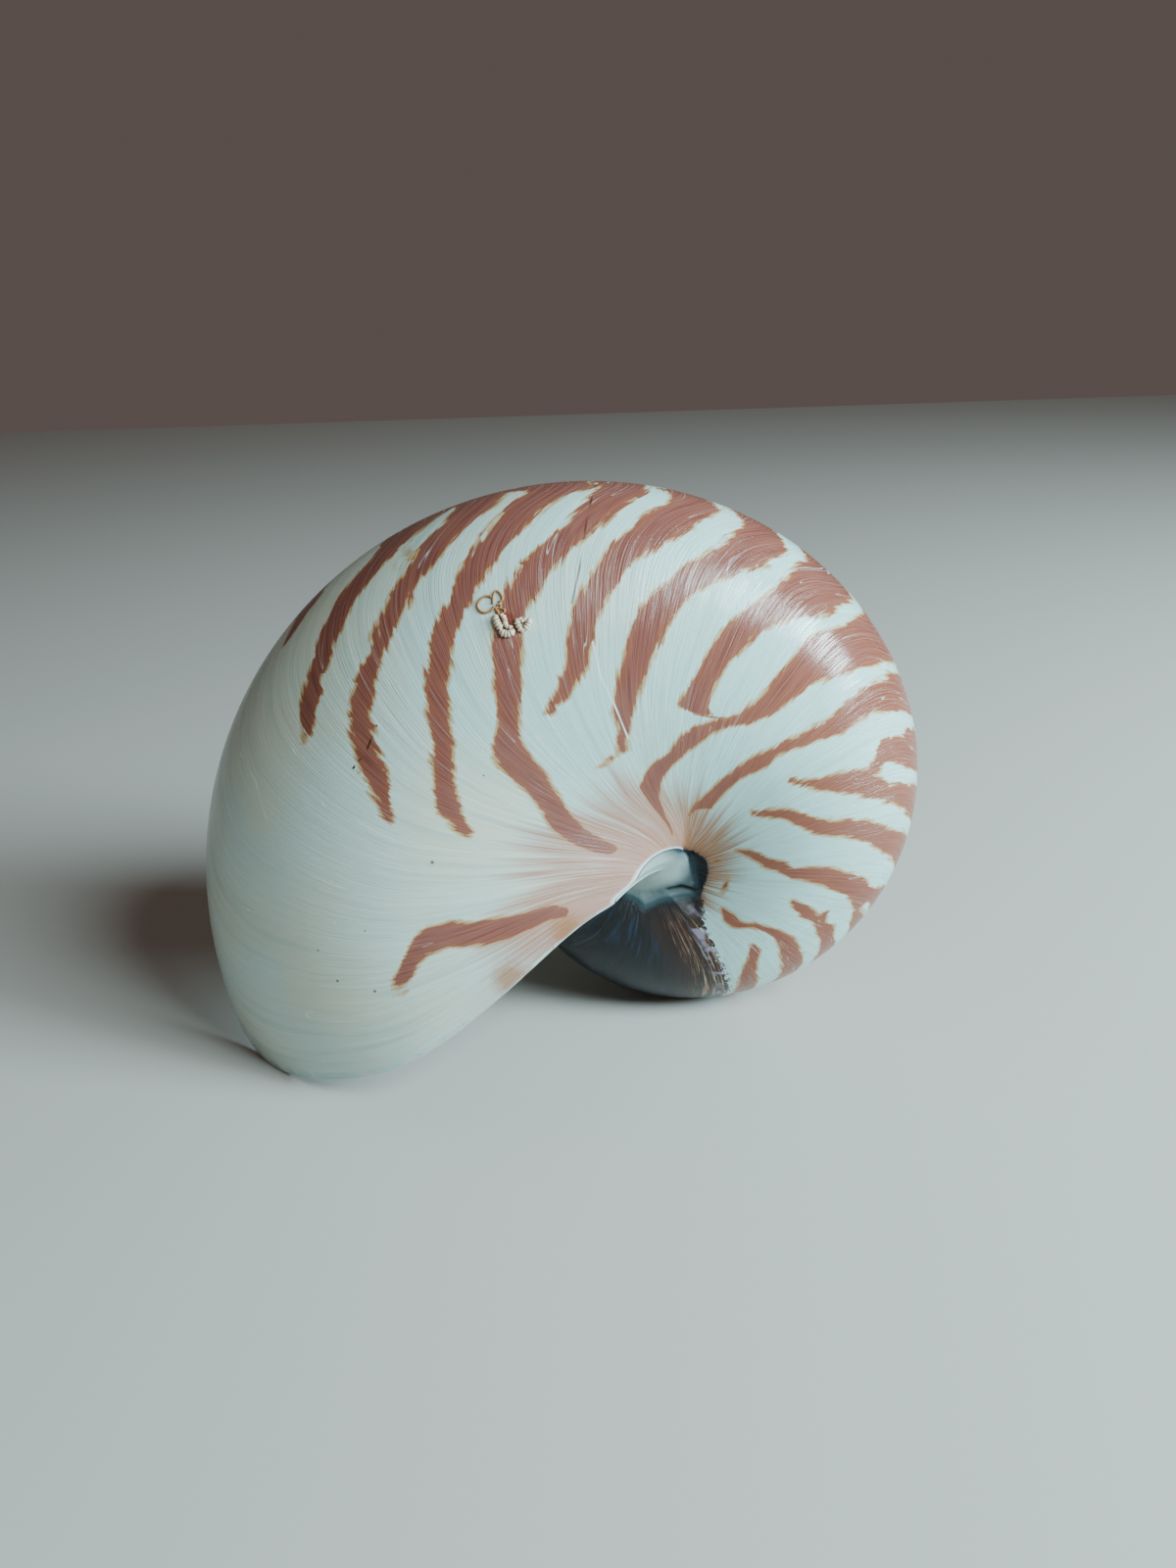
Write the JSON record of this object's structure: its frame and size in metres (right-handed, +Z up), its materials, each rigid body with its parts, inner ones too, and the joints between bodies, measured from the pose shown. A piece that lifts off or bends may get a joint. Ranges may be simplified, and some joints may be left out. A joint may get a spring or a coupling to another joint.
{
  "type": "nautilus shell",
  "caption": "Coiled shell with a smooth flaring whorl, brown flame stripes over a pale ground, an open body chamber and a dark film on the coil inside the mouth.",
  "frame": {"origin": "centre of the bounding box's base, on the surface the shell stands on", "axes": "+X from the mouth towards the back of the coil, +Y along the coil axis, +Z up as the shell stands on its lip and coil"},
  "size_m": [0.1636, 0.0878, 0.1221],
  "materials": {
    "shell": "satin natural shell with a soft pearly gloss"
  },
  "bodies": {
    "root": {"shell": "shell"}
  },
  "joints": []
}
